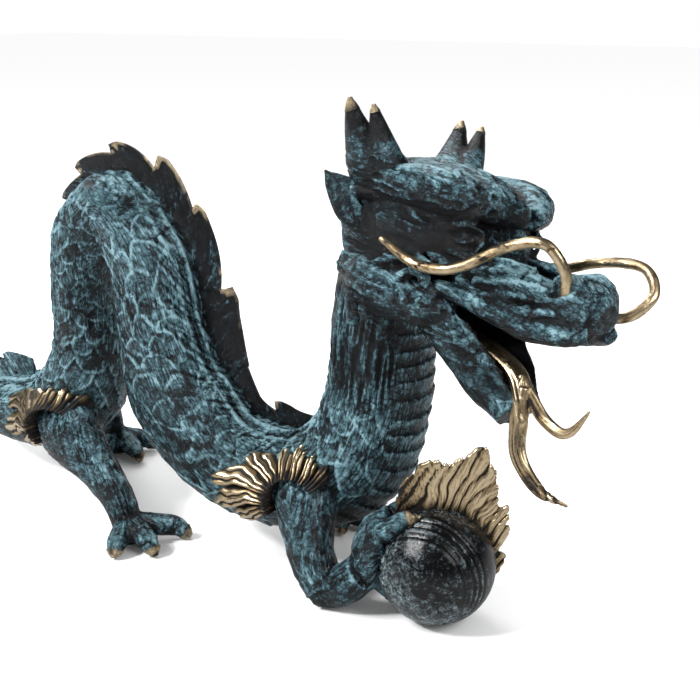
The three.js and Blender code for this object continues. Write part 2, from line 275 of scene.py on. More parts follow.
# The skull's rows: x, half width, lowest, highest.
skullStations = [
    [-14, 16, -38, 4], [-6, 25, -46, 20], [12, 28, -46, 29], [30, 30, -38, 31], [46, 28, -28, 27],
    [57, 24, -30, 12], [67, 21, -33, -6], [84, 18, -37, -12], [98, 17.5, -38, -15], [109, 17.5, -38, -12],
    [118, 15, -36, -11], [124, 8, -31, -18],
]
headSides = {
    "brow": [[2, 24, 13, 6], [28, 26, 17, 8.5], [52, 24, 16, 10], [66, 17, 14, 9.5], [74, 9, 12, 7],
             [77, 2, 10, 5]],
    "cheek": [[-4, 21, -22, 8], [22, 25, -30, 12], [44, 23, -34, 9], [60, 18, -34, 4]],
    "horn": [[10, 19, 14, 10, 17], [6, 28, 25, 9.5, 13], [2, 34, 36, 6.2, 7], [-0.6, 38.2, 46.5, 2.8, 3],
             [-1.2, 39.4, 50.4, 0.9]],
    "fork": [[17, 23, 18, 8.5, 10.5], [15.5, 31, 31, 6, 7], [13.4, 36.8, 44.5, 2.6, 2.8],
             [12.9, 38.2, 48.4, 0.8]],
}
ear = [[9, 21, -4, 4, 7], [2, 27, 2, 3.6, 10], [-4, 31, 8, 2.8, 8.5], [-9, 35, 13, 1.8, 4.5],
       [-13, 37, 17, 0.4, 0.5]]
headCarving = {
    "lip": [[51, 22, -24, 3], [73, 20.5, -28, 4.4], [89, 17.5, -32, 5], [101, 16, -34, 5.2],
            [114, 13.5, -33, 4.8], [121, 8, -31, 4]],
    "lipTop": [[62, 22, -19, 1.8], [80, 19.8, -24.5, 2.2], [96, 18, -27, 2.2], [110, 17, -24.5, 1.8]],
    "fold1": [[64, 18.5, -11, 1.8], [78, 14.5, -9.5, 2.6], [94, 12, -10.5, 2]],
    "fold2": [[66, 20.5, -15, 1.9], [82, 17, -13, 2.7], [100, 15, -13.5, 2]],
    "fold3": [[70, 21.5, -19, 1.8], [87, 18.6, -16.8, 2.6], [105, 17, -17, 1.9]],
    "fold4": [[78, 20.5, -22.5, 1.6], [94, 18.4, -20.5, 2.3], [108, 17.4, -20.5, 1.7]],
    "nose": [[102, 6, -13, 4], [110, 8.5, -12.5, 5.4], [116, 8, -16, 5.6], [119.5, 6, -22, 4.5]],
    "nostril": [[106, 14.5, -25, 2.1], [111, 15.2, -19.5, 2.6], [117, 12.4, -19, 2.5],
                [119, 12, -25.5, 2.2], [113, 14.8, -28, 1.9]],
    "orbit": [[16, 20, -4, 10, 12], [38, 20.5, -3, 10, 12], [56, 17, -3, 7.8, 10], [67, 12, -4, 5, 7]],
    "lid": [[52, 24, -4, 1.4], [58, 24.4, 2.5, 2], [66, 22.4, 4, 2], [71, 19, -1, 1.3]],
    "underLid": [[52, 24, -5, 1.3], [59, 24, -8.5, 1.8], [67, 21.6, -8, 1.8], [71, 19.3, -2.5, 1.2]],
    "bag": [[46, 26, -10, 1.4], [56, 25.5, -13.5, 2], [67, 22.4, -13, 1.8], [73, 19.2, -8, 1.2]],
    "bag2": [[40, 27.5, -8, 1.3], [45, 27.5, -14.5, 1.8], [56, 25, -18, 1.8]],
    "cheekCurl": [[52, 24, -30, 2.6], [45, 28, -20, 3], [36, 29.5, -24, 3], [37, 29, -33, 2.8],
                  [44, 27.5, -33, 2.2]],
    "jowl": [[36, 26, -14, 2.6], [22, 29, -20, 3.6], [10, 28.5, -34, 4.2], [8, 25, -50, 3.6]],
    "jowl2": [[28, 28, -26, 2.2], [20, 30.5, -34, 3], [18, 28, -46, 2.6]],
    "earFold": [[8, 26, -6, 2.2], [2, 28.2, 4, 2.2], [-2, 29, 12, 1.6]],
}
jawRows = [[24, 0, -25, 22, 14], [44, 0, -35, 24, 16], [61, 0, -46, 23, 16], [77, 0, -60, 19, 15],
           [90, 0, -72, 12.5, 10]]
jawHollow = [[34, 0, -14, 14, 12], [54, 0, -26, 17, 18], [72, 0, -38, 16, 18], [90, 0, -50, 13, 17],
             [110, 0, -66, 10, 14]]
eyes = {"at": [62, 19.6, -2.4], "radius": 5.6}
shinKnobs = {"legs": ("nearHind", "farHind", "farFore"), "count": 6, "from": 0.42, "to": 0.9, "sunk": 0.92,
             "radius": 3.2, "shrink": 0.15}


def mirrored(rows, side):
    return [[r[0], side * r[1], *r[2:]] for r in rows]


def hornEnds():
    sides = [mirrored(headSides[name], side) for name in ("horn", "fork") for side in (-1, 1)]
    return [placed([rows[-1][:3]])[0] for rows in sides]


def cuppedPaw():
    def arc(start, stop, back, sizes):
        rows = []
        for k, (wide, deep) in enumerate(sizes):
            angle = math.radians(start + (stop - start) * k / (len(sizes) - 1))
            shelf = math.sqrt(max(0, 1 - (back / pearl["radius"]) ** 2)) * pearl["radius"] + deep * 0.55
            spot = pearl["centre"] - pearlAcross * math.cos(angle) * shelf + pearlBehind * back
            rows.append([*(spot + skyward * math.sin(angle) * shelf), wide, deep])
        return rows
    palm = tubePoints(arc(-18, 49, 2, [[9, 5], [13, 8], [13, 8], [10, 6]]), 30, 24, pearlBehind)
    digit = [[5, 5], [5, 5], [4, 4], [0.5, 0.6]]
    turns = [[36, 74, -6], [22, 114, 11], [8, 98, 18], [-8, -62, 9]]
    digits = [tubePoints(arc(*turn, digit), 24, 16, pearlBehind) for turn in turns]
    clawRows = [arc(*turn, digit) for turn in turns]
    return [palm, *digits], clawRows


def jawMesh():
    hollow = addObject("hollow", gridMesh("hollow", [placed(tubePoints(jawHollow, 24, 24))]))

    def addModifiers(obj):
        cut = obj.modifiers.new("hollow", "BOOLEAN")
        cut.operation = "DIFFERENCE"
        cut.solver = "EXACT"
        cut.object = hollow
    jaw = evaluated(gridMesh("jaw", [placed(tubePoints(jawRows, 24, 28))]), addModifiers)
    bpy.data.objects.remove(hollow)
    return jaw


# The coarse forms that are fused into one skin.
def dragonForms():
    grids = [tubePoints(body["line"], 200, 40)]
    for rows in legs.values():
        grids.append(tubePoints(rows, 30, 24))
    for foot in feet.values():
        for tip in foot["tips"]:
            side = toeSide(foot["root"], tip)
            grids.append(tubePoints(toeRows(foot["root"], tip, foot["thick"]), 20, 14, side))
    paw, clawRows = cuppedPaw()
    grids += paw
    skullRows = [[x, 0, (low + high) / 2, wide, (high - low) / 2] for x, wide, low, high in skullStations]
    grids.append(placed(tubePoints(skullRows, 60, 40)))
    for side in (-1, 1):
        for rows in [*headSides.values(), *headCarving.values()]:
            grids.append(placed(tubePoints(mirrored(rows, side), 30, 16)))
    mesh = gridMesh("forms", grids)
    bm = bmesh.new()
    bm.from_mesh(mesh)
    jaw = jawMesh()
    bm.from_mesh(jaw)
    for side in (-1, 1):
        eye = bmesh.ops.create_uvsphere(bm, u_segments=24, v_segments=16, radius=eyes["radius"])
        bmesh.ops.translate(bm, verts=eye["verts"], vec=Vector(placed(mirrored([eyes["at"]], side))[0]))
    for name in shinKnobs["legs"]:
        shin = follow(legs[name], np.linspace(shinKnobs["from"], shinKnobs["to"], shinKnobs["count"]))
        for k in range(shinKnobs["count"]):
            knob = bmesh.ops.create_uvsphere(bm, u_segments=14, v_segments=10,
                                             radius=shinKnobs["radius"] - shinKnobs["shrink"] * k)
            spot = shin["at"][k] + shin["up"][k] * shin["half"][k, 1] * shinKnobs["sunk"]
            bmesh.ops.translate(bm, verts=knob["verts"], vec=Vector(spot))
    bm.to_mesh(mesh)
    bm.free()
    bpy.data.meshes.remove(jaw)
    return mesh, clawRows


mesh, clawRows = dragonForms()
skin = fused(mesh, body["fineness"], 3)
print("dragon skin", len(skin.vertices))

# Relief heights and widths in millimetres; "rounds" is how far the patina looks for hollows, and the wide
# round also paints shade into broad hollows and light onto broad swells.
carving = {
    "scale": {"around": 9.5, "height": 1.25, "length": 0.64, "wander": (0.34, 0.30), "bead": 0.07},
    "plate": {"pitch": 8.5, "height": 1.1},
    "ridge": {"height": 1.3, "lines": ((6.5, 1.5, 1.0), (13.5, 1.7, 0.8)), "feather": 0.6},
    "hair": {"body": 0.5, "neck": 0.6, "head": 0.85, "legs": 0.4, "long": 22},
    "uneven": 0.35, "rounds": ((10, 1.1), (48, 0.12)),
    # Shade amounts: brow is painted shade under the brow, the negative amount is a painted highlight on the
    # snout, horn is the horns' own darker tips, and head, legs and neck make those parts darker.
    "shade": {"brow": 0.42, "head": 0.06, "legs": 0.22, "neck": 0.16, "muzzleHighlight": -0.32, "horn": 0.8},
}


# Overlapping rounded scales with a beaded rim, in a grid of u rows and v columns.
def scaleRelief(u, v):
    height = np.full(len(u), 0.05)
    rim = np.zeros(len(u))
    lowest = np.floor(u)
    for step in (1, 2):
        row = lowest + step
        shifted = v - 0.5 * (row % 2)
        column = np.round(shifted)
        x, y = (shifted - column) / 0.56, (row - u) / 1.2
        d = np.hypot(x, y)
        lot = 0.8 + 0.4 * noise(stacked(row, column, 0) * 1.37 + 0.5, 5)
        inside = 1 - ease(0.95, 1.02, d)
        bead = np.exp(-((d - 0.9) / carving["scale"]["bead"]) ** 2)
        shape = (0.35 + 0.4 * np.clip(d, 0, 1) ** 2 + 0.25 * bead) * lot
        height = height * (1 - inside) + shape * inside
        rim = rim * (1 - inside) + bead * inside
    return height, rim


# How far each point stands out of the skin round it, in millimetres; wider with more rounds.
def standsOut(mesh, points, rounds):
    pairs = np.zeros(len(mesh.edges) * 2, np.int32)
    mesh.edges.foreach_get("vertices", pairs)
    first = np.concatenate([pairs[0::2], pairs[1::2]])
    second = np.concatenate([pairs[1::2], pairs[0::2]])
    count = np.maximum(np.bincount(first, minlength=len(points)), 1)
    smooth = points
    for _ in range(rounds):
        smooth = np.stack([np.bincount(first, smooth[second, k], len(points)) / count for k in range(3)], 1)
    return ((points - smooth) * readPoints(mesh, "normal")).sum(1)


# Fine grooves along a flow.
def hair(flow, seed):
    return 1 - np.abs(noise(flow, seed)) * 2


# The horns' own darker bronze towards their tips, carried in the shade attribute.
def hornDark(p, away):
    return carving["shade"]["horn"] * (1 - ease(10, 19, away + 4 * noise(p / 5, 32)))


# Where each point of the skin lies on the body, the head and the legs.
def measureDragon(skin):
    p = readPoints(skin)
    q = inHead(p)
    onBody = onLine(p, fullBody)
    phi = onBody["angle"] - np.pi / 2
    phi = np.abs((phi + np.pi) % (2 * np.pi) - np.pi)
    gone, sign, fromCrest = onBody["gone"], np.sign(np.cos(onBody["angle"])), phi * onBody["radius"]
    headMask = ease(-4, 6, (p - [28, -9, 152]) @ np.array([0.24, 0, 0.97]))
    bodyMask = (1 - ease(1.5, 4.5, onBody["gap"])) * (1 - headMask)
    onLegs = [onLine(p, follow(rows, np.linspace(0, 1, 60))) for rows in legs.values()]
    owner = np.argmin([leg["gap"] for leg in onLegs], axis=0)
    legGone = np.choose(owner, [leg["gone"] for leg in onLegs])
    legAround = np.choose(owner, [leg["angle"] * leg["radius"] for leg in onLegs])
    long = carving["hair"]["long"]
    return {
        "p": p, "n": readPoints(skin, "normal"), "q": q,
        "gone": gone, "phi": phi, "sign": sign, "fromCrest": fromCrest,
        "head": headMask, "body": bodyMask, "legs": (1 - bodyMask) * (1 - headMask),
        "neck": ease(84, 112, p[:, 2]) * ease(-4, 4, p[:, 0]),
        "bodyFlow": stacked(gone / long, fromCrest * sign / 2.7, 0),
        "headFlow": stacked(q[:, 0] / long, q[:, 1] / 3.3 + q[:, 0] / 30, q[:, 2] / 3.3 + q[:, 0] / 25),
        "legFlow": stacked(legGone / 12, np.abs(legAround) / 2.6, owner * 7.0),
    }


# Scales, ridges, belly plates and hair; gives the moved points and the scales' rims.
def carveDragon(skin, at):
    p, gone, phi, sign, fromCrest = (at[key] for key in ("p", "gone", "phi", "sign", "fromCrest"))
    scale, plate, ridge, strokes = (carving[key] for key in ("scale", "plate", "ridge", "hair"))
    pitch = 2 * np.pi / scale["around"]
    pace = np.cumsum(np.gradient(fullBody["gone"]) / (fullBody["half"].mean(1) * pitch * scale["length"]))
    warp = stacked(gone / 16, phi * 2.2, sign)
    u = np.interp(gone, fullBody["gone"], pace) + scale["wander"][0] * noise(warp, 1)
    v = phi * sign / pitch + scale["wander"][1] * noise(warp, 2)
    scales, rim = scaleRelief(u, v)
    offNeck = 1 - at["neck"]
    banded = ease(2.2, 2.45, phi) * ease(-70, -50, p[:, 0])
    worn = 0.7 + 0.3 * ease(-0.5, 0.3, noise(p / 16, 7))
    scaleMask = at["body"] * ease(12, 17, fromCrest) * (1 - banded) * (ease(120, 175, gone) * offNeck) * worn
    plateMask = at["body"] * banded
    ridgeMask = at["body"] * (1 - ease(20, 24, fromCrest)) * ease(60, 110, gone) * offNeck
    ridges = sum(share * np.exp(-((fromCrest - spot) / wide) ** 2) for spot, wide, share in ridge["lines"])
    feather = hair(stacked((gone + 1.3 * fromCrest) / 2.6, fromCrest / 14, sign * 3), 14)
    snout = at["head"] * ease(70, 80, at["q"][:, 0])
    bare = at["body"] * (1 - scaleMask) * (1 - plateMask)
    relief = scaleMask * scale["height"] * scales
    relief += ridgeMask * ridge["feather"] * feather
    relief += plateMask * plate["height"] * (gone / plate["pitch"] % 1) ** 1.5
    relief += ridgeMask * ridge["height"] * ridges
    relief += bare * (strokes["body"] + strokes["neck"] * at["neck"]) * hair(at["bodyFlow"], 11)
    relief += at["head"] * (1 - 0.5 * snout) * strokes["head"] * hair(at["headFlow"], 12)
    relief += at["legs"] * strokes["legs"] * hair(at["legFlow"], 13)
    relief += carving["uneven"] * layered(p / 7, 21, 3)
    relief = (relief - relief.mean()) * ease(20, 30, nearest(p, hornEnds()))
    moved = p + at["n"] * relief[:, None]
    moved[:, 2] = np.where(p[:, 2] > 1.5, np.maximum(moved[:, 2], 0.3), p[:, 2])  # soles stay flat
    writePoints(skin, moved)
    broken = 0.3 + 0.7 * ease(-0.4, 0.4, noise(p / 5, 8))
    return moved, rim * scaleMask * broken + 0.3 * ridgeMask * ridges


# What the materials read: strokes, hollows, rims, shade and how far a point faces up. The shade is painted
# shade under the brow and in the mouth, lowered by a painted highlight on the snout, plus the horns' own
# darker tips and darker head, legs and neck; facing up paints light on upper faces and shade on lower ones.
def tintDragon(skin, at, moved, rim):
    p, q, shade = at["p"], at["q"], carving["shade"]
    ways = ("body", "bodyFlow"), ("head", "headFlow"), ("legs", "legFlow")
    flow = sum(at[mask][:, None] * at[way] for mask, way in ways)
    # The narrow round makes raised relief lighter and hollows darker; the wide round is painted shade and
    # light on broad forms.
    relief = sum(weight * standsOut(skin, moved, rounds) for rounds, weight in carving["rounds"])
    # Painted shade under the brow.
    underBrowShade = np.exp(-(((q - [40, 0, -4]) / [34, 99, 11]) ** 4).sum(1)) * ease(15, 19, np.abs(q[:, 1]))
    # Painted highlight on the snout, which lowers the shade there.
    muzzleHighlight = np.exp(-(((q - [86, 0, -14]) / [19, 99, 8]) ** 2).sum(1)) * at["head"]
    # Painted shade inside the mouth.
    mouthShade = 1 - ease(0.5, 2.5, onLine(q, follow(jawHollow, np.linspace(0, 1, 60)))["gap"])
    mouthShade = mouthShade * ease(30, 40, q[:, 0]) * (q[:, 2] < -18)
    dark = at["head"] * np.maximum(shade["brow"] * underBrowShade + shade["head"], mouthShade)
    dark = np.maximum(dark, hornDark(p, nearest(p, hornEnds())))
    dark += shade["muzzleHighlight"] * muzzleHighlight + shade["legs"] * at["legs"] + shade["neck"] * at["neck"] * at["body"]
    # Painted light and shade: upward faces lighter, downward faces darker, more strongly on the head, which
    # is also darker overall.
    up = at["n"][:, 2]
    setAttributes(skin, flow=flow, relief=np.clip(relief, -1.3, 0.7), rim=rim, gilt=0, shade=dark,
                  lit=up + at["head"] * (0.9 * up - 0.95))


measured = measureDragon(skin)
tintDragon(skin, measured, *carveDragon(skin, measured))
print("dragon carved")

pieces = {}


def finishPiece(name, mesh, material, node, normals=None):
    points = (readPoints(mesh) + placement) * 0.001
    writePoints(mesh, points)
    mesh.shade_smooth()
    if normals is not None:
        mesh.normals_split_custom_set_from_vertices(normals.tolist())
    obj = addObject(name, mesh)
    mesh.materials.clear()
    mesh.materials.append(material)
    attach(obj, "root")
    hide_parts(node)
    pieces[name] = obj
    triangles = sum(len(f.vertices) - 2 for f in mesh.polygons)
    print(name, "triangles", triangles)
    return obj


cuts = {
    "ground": ((0, 0, 0), (0, 0, 1)), "waist": ((-44, 0, 0), (1, 0, 0)),
    "neck": ((27, -9, 138), (0.35, 0, 0.94)), "hump": ((-130, 0, 84), (0, 0, 1)),
}
skinPieces = {
    "tailAndHips": (("waist", -1), ("hump", -1)), "humpArch": (("waist", -1), ("hump", 1)),
    "chestAndLegs": (("waist", 1), ("neck", -1)), "headAndMane": (("waist", 1), ("neck", 1)),
}


def cutAlong(bm, name, **clear):
    spot, facing = cuts[name]
    bmesh.ops.bisect_plane(bm, geom=bm.verts[:] + bm.edges[:] + bm.faces[:], dist=1e-4,
                           plane_co=spot, plane_no=facing, **clear)


def closeHoles(bm):
    bmesh.ops.holes_fill(bm, edges=[e for e in bm.edges if e.is_boundary], sides=0)


# Cuts the fused skin into closed pieces that share their cut edges and keep the whole skin's normals.
def splitSkin(skin):
    bm = bmesh.new()
    bm.from_mesh(skin)
    cutAlong(bm, "ground", clear_inner=True)
    closeHoles(bm)
    for name in ("waist", "neck", "hump"):
        cutAlong(bm, name)
    bm.normal_update()
    layer = bm.verts.layers.float_vector.new("keptNormal")
    for vert in bm.verts:
        vert[layer] = vert.normal
    made = {}
    for name, sides in skinPieces.items():
        part = bm.copy()
        away = []
        for face in part.faces:
            spot = face.calc_center_median()
            for cut, side in sides:
                if (spot - Vector(cuts[cut][0])).dot(Vector(cuts[cut][1])) * side < 0:
                    away.append(face)
                    break
        bmesh.ops.delete(part, geom=away, context="FACES")
        closeHoles(part)
        bmesh.ops.triangulate(part, faces=[f for f in part.faces if len(f.verts) > 4])
        made[name] = bpy.data.meshes.new(name)
        part.to_mesh(made[name])
        part.free()
    bm.free()
    return made


# A shader group with number inputs, a vector input where the value is None, a colour and number outputs.
def nodeGroup(name, inputs, outputs):
    tree = bpy.data.node_groups.new(name, "ShaderNodeTree")
    for label, value in inputs.items():
        kind = "NodeSocketVector" if value is None else "NodeSocketFloat"
        socket = tree.interface.new_socket(name=label, in_out="INPUT", socket_type=kind)
        if value is not None:
            socket.default_value = value
    tree.interface.new_socket(name="Color", in_out="OUTPUT", socket_type="NodeSocketColor")
    for label in outputs:
        tree.interface.new_socket(name=label, in_out="OUTPUT", socket_type="NodeSocketFloat")
    return tree, tree.nodes.new("NodeGroupInput"), tree.nodes.new("NodeGroupOutput")


def add(tree, kind, values=None, **settings):
    node = tree.nodes.new("ShaderNode" + kind)
    for key, value in settings.items():
        setattr(node, key, value)
    for key, value in (values or {}).items():
        if hasattr(value, "node"):
            tree.links.new(value, node.inputs[key])
        else:
            node.inputs[key].default_value = value
    return node


def maths(tree, operation, a, b=0.0, c=0.0, clamp=False):
    return add(tree, "Math", {0: a, 1: b, 2: c}, operation=operation, use_clamp=clamp).outputs[0]


def ramp(tree, value, stops):
    node = add(tree, "ValToRGB", {0: value})
    band = node.color_ramp
    while len(band.elements) < len(stops):
        band.elements.new(0.5)
    for element, (spot, colour) in zip(band.elements, stops):
        element.position = spot
        element.color = (*colour, 1)
    return node.outputs[0]


def attribute(tree, name, output="Fac"):
    return add(tree, "Attribute", attribute_name=name).outputs[output]


def grain(tree, place, scale, detail, rough, distortion=0.0):
    return add(tree, "TexNoise", {"Vector": place, "Scale": scale, "Detail": detail, "Roughness": rough,
                                  "Distortion": distortion}).outputs


# 1 at the low end, 0 at the high end.
def fading(tree, value, low, high):
    return add(tree, "MapRange", {0: value, 1: low, 2: high, 3: 1.0, 4: 0.0}).outputs[0]


def link(tree, node, values):
    for label, value in values.items():
        tree.links.new(value, node.inputs[label])


# Noises are scale, detail, roughness and distortion; the weights add up to how thick the patina lies, with
# Lit adding painted light and Shade taking away, mostly as painted shade.
patinaLook = {
    "blotch": ((36.0, 4.0, 0.6, 1.0), 0.8), "cloud": ((105.0, 4.0, 0.65, 0.8), 0.4),
    "speckle": ((380.0, 5.0, 0.75, 0.6), 0.7), "strokes": ((2.4, 6.0, 0.72, 1.1), 2.1),
    "bare": {"noise": (52.0, 6.0, 0.68, 1.6), "from": 0.40, "to": 0.46, "weight": -0.32},
    "crack": {"wander": (160.0, 3.0, 0.5), "reach": 0.006, "scale": 230.0, "width": 0.14, "weight": -0.2},
    "weights": {"Relief": 0.46, "Rim": 0.24, "Lit": 0.20, "Shade": -0.8},
    "colours": [
        (0.18, (0.0028, 0.0028, 0.0034)), (0.36, (0.0045, 0.0075, 0.0095)), (0.48, (0.0090, 0.0190, 0.0240)),
        (0.62, (0.0200, 0.0480, 0.0600)), (0.82, (0.0580, 0.1230, 0.1480)), (1.0, (0.185, 0.305, 0.345)),
    ],
    "rough": (0.30, 0.10),
    "height": {"strokes": 1.3, "speckle": 0.7, "crack": 0.25},
}


# Mottled blue-green patina over a near-black bronze, lighter on raised edges and in streaks; the Lit input
# paints light on upward faces and the Shade input darkens, mostly as painted shade.
def makePatina():
    look = patinaLook
    tree, enter, leave = nodeGroup("verdigrisPatinaAndPaintedLight", {
        "Relief": 0.0, "Rim": 0.0, "Shade": 0.0, "Lit": 0.0, "Flow": None, "Amount": 0.5, "Grey": 0.0,
    }, ("Roughness", "Height"))
    spot = add(tree, "TexCoord").outputs["Object"]
    noises = {name: grain(tree, spot, *look[name][0])[0] for name in ("blotch", "cloud", "speckle")}
    noises["strokes"] = grain(tree, enter.outputs["Flow"], *look["strokes"][0])[0]
    cracks, bald = look["crack"], look["bare"]
    wander = add(tree, "VectorMath", {0: grain(tree, spot, *cracks["wander"])[1], "Scale": cracks["reach"]},
                 operation="SCALE").outputs[0]
    wandered = add(tree, "VectorMath", {0: spot, 1: wander}, operation="ADD").outputs[0]
    cells = add(tree, "TexVoronoi", {"Vector": wandered, "Scale": cracks["scale"]},
                feature="DISTANCE_TO_EDGE")
    crack = fading(tree, cells.outputs["Distance"], 0.0, cracks["width"])
    bare = fading(tree, grain(tree, spot, *bald["noise"])[0], bald["from"], bald["to"])
    total = enter.outputs["Amount"]
    for name, value in noises.items():
        weight = look[name][1]
        total = maths(tree, "ADD", total, maths(tree, "MULTIPLY_ADD", value, weight, -weight / 2))
    parts = [(enter.outputs[label], weight) for label, weight in look["weights"].items()]
    for value, weight in [*parts, (crack, cracks["weight"]), (bare, bald["weight"])]:
        total = maths(tree, "ADD", total, maths(tree, "MULTIPLY", value, weight))
    dull = maths(tree, "SUBTRACT", 1.0, enter.outputs["Grey"])
    colour = add(tree, "HueSaturation", {"Saturation": dull, "Color": ramp(tree, total, look["colours"])})
    height = maths(tree, "ADD", maths(tree, "MULTIPLY", noises["strokes"], look["height"]["strokes"]),
                   maths(tree, "MULTIPLY", noises["speckle"], look["height"]["speckle"]))
    height = maths(tree, "SUBTRACT", height, maths(tree, "MULTIPLY", crack, look["height"]["crack"]))
    rough = maths(tree, "MULTIPLY_ADD", total, *look["rough"], clamp=True)
    link(tree, leave, {"Color": colour.outputs[0], "Roughness": rough, "Height": height})
    return tree


brassLook = {
    "speckle": ((260.0, 5.0, 0.7), 0.7), "strokes": ((3.0, 4.0, 0.6), 0.5), "cloud": ((50.0, 3.0, 0.5), 0.6),
    "colours": [(0.10, (0.54, 0.43, 0.28)), (0.30, (0.36, 0.27, 0.155)), (0.47, (0.12, 0.08, 0.042)),
                (0.60, (0.010, 0.008, 0.007))],
    "bareMetal": 1.25, "rough": (0.4, 0.27),
}


# Worn brass: bright where it is rubbed, brown-black in its grooves.
def makeBrass():
    look = brassLook
    tree, enter, leave = nodeGroup("rubbedBrass", {"Groove": 0.0, "Flow": None},
                                   ("Metallic", "Roughness", "Height"))
    spot = add(tree, "TexCoord").outputs["Object"]
    noises, dirt = {}, enter.outputs["Groove"]
    for name in ("speckle", "strokes", "cloud"):
        settings, weight = look[name]
        noises[name] = grain(tree, enter.outputs["Flow"] if name == "strokes" else spot, *settings)[0]
        dirt = maths(tree, "ADD", dirt, maths(tree, "MULTIPLY_ADD", noises[name], weight, -weight / 2))
    link(tree, leave, {
        "Color": ramp(tree, dirt, look["colours"]),
        "Metallic": maths(tree, "SUBTRACT", look["bareMetal"], dirt, clamp=True),
        "Roughness": maths(tree, "MULTIPLY_ADD", dirt, *look["rough"], clamp=True),
        "Height": maths(tree, "ADD", noises["strokes"], maths(tree, "MULTIPLY", noises["speckle"], 0.4)),
    })
    return tree


patina = makePatina()
brass = makeBrass()


def newMaterial(name):
    material = bpy.data.materials.new(name)
    material.use_nodes = True
    tree = material.node_tree
    tree.nodes.clear()
    shader = tree.nodes.new("ShaderNodeBsdfPrincipled")
    out = tree.nodes.new("ShaderNodeOutputMaterial")
    tree.links.new(shader.outputs[0], out.inputs[0])
    return material, tree, shader


def bronzeMaterial(name, amount, strength=0.6, grey=0.0):
    material, tree, shader = newMaterial(name)
    flow, gilt = attribute(tree, "flow", "Vector"), attribute(tree, "gilt")
    masks = {label.capitalize(): attribute(tree, label) for label in ("relief", "rim", "shade", "lit")}
    cast = add(tree, "Group", {**masks, "Flow": flow, "Amount": amount, "Grey": grey},
               node_tree=patina).outputs
    bright = add(tree, "Group", {"Groove": 0.12, "Flow": flow}, node_tree=brass).outputs
    colour = add(tree, "Mix", {0: gilt, 6: cast["Color"], 7: bright["Color"]}, data_type="RGBA")
    rough = add(tree, "Mix", {0: gilt, 2: cast["Roughness"], 3: bright["Roughness"]}, data_type="FLOAT")
    bump = add(tree, "Bump", {"Strength": strength, "Distance": 0.0018, "Height": cast["Height"]})
    link(tree, shader, {"Base Color": colour.outputs[2], "Metallic": gilt, "Roughness": rough.outputs[0],
                        "Normal": bump.outputs[0]})
    shader.inputs["Specular IOR Level"].default_value = 0.24
    return material


def brassMaterial(name, strength=0.3):
    material, tree, shader = newMaterial(name)
    marks = {"Groove": attribute(tree, "groove"), "Flow": attribute(tree, "flow", "Vector")}
    bright = add(tree, "Group", marks, node_tree=brass).outputs
    bump = add(tree, "Bump", {"Strength": strength, "Distance": 0.0004, "Height": bright["Height"]})
    link(tree, shader, {"Base Color": bright["Color"], "Metallic": bright["Metallic"],
                        "Roughness": bright["Roughness"], "Normal": bump.outputs[0]})
    return material


verdigris = bronzeMaterial("verdigrisBronze", amount=0.64)
darkCrest = bronzeMaterial("darkCrestBronze", amount=0.19)
pearlFinish = bronzeMaterial("pearlBronze", amount=0.62, strength=0.12, grey=0.5)
polished = brassMaterial("polishedBrass")
print("materials ready")

for name, mesh in splitSkin(skin).items():
    layer = mesh.attributes["keptNormal"]
    normals = np.zeros(len(mesh.vertices) * 3, np.float32)
    layer.data.foreach_get("vector", normals)
    mesh.attributes.remove(layer)
    finishPiece(name, mesh, verdigris, "dragon", normals.reshape(-1, 3))

# Teeth are [where on the body's line, height].
crest = {
    "runs": [
        {"teeth": [[0.06, 5], [0.095, 8], [0.132, 12], [0.17, 15], [0.205, 15], [0.24, 3]], "end": 0.262},
        {"teeth": [[0.38, 3], [0.41, 4], [0.438, 5], [0.458, 8], [0.478, 12], [0.497, 14], [0.513, 19],
                   [0.538, 19], [0.575, 23], [0.637, 13], [0.688, 9], [0.727, 13]], "end": 0.79},
    ],
    "notch": 0.66, "thick": 4.4, "edge": 1.0, "stepsPerTooth": 26, "stepsUp": 14, "slant": 0.9, "foot": 5,
}


